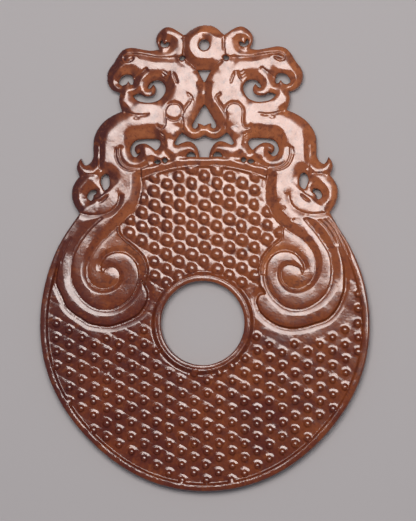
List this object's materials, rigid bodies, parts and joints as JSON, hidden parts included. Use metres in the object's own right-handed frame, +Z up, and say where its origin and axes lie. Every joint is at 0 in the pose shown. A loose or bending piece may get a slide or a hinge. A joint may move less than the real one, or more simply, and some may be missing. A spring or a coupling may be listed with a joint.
{
  "type": "carved jade bi disc with phoenix crest",
  "caption": "Flat russet jade disc with a round hole, raised grain fields and spiral volutes, topped by a pierced crest of two addorsed phoenixes with a hanging ring",
  "frame": {"origin": "middle of the bounding box, on the flat back that it lies on", "axes": "+Z up out of the carved face, +Y from the disc to the crest, +X to the right of the carved face"},
  "size_m": [0.1352, 0.1906, 0.006],
  "materials": {
    "jade": "polished russet-brown jade, slightly translucent, with faint cloudy veining"
  },
  "bodies": {
    "root": {"phoenix_bi": "jade"}
  },
  "joints": []
}
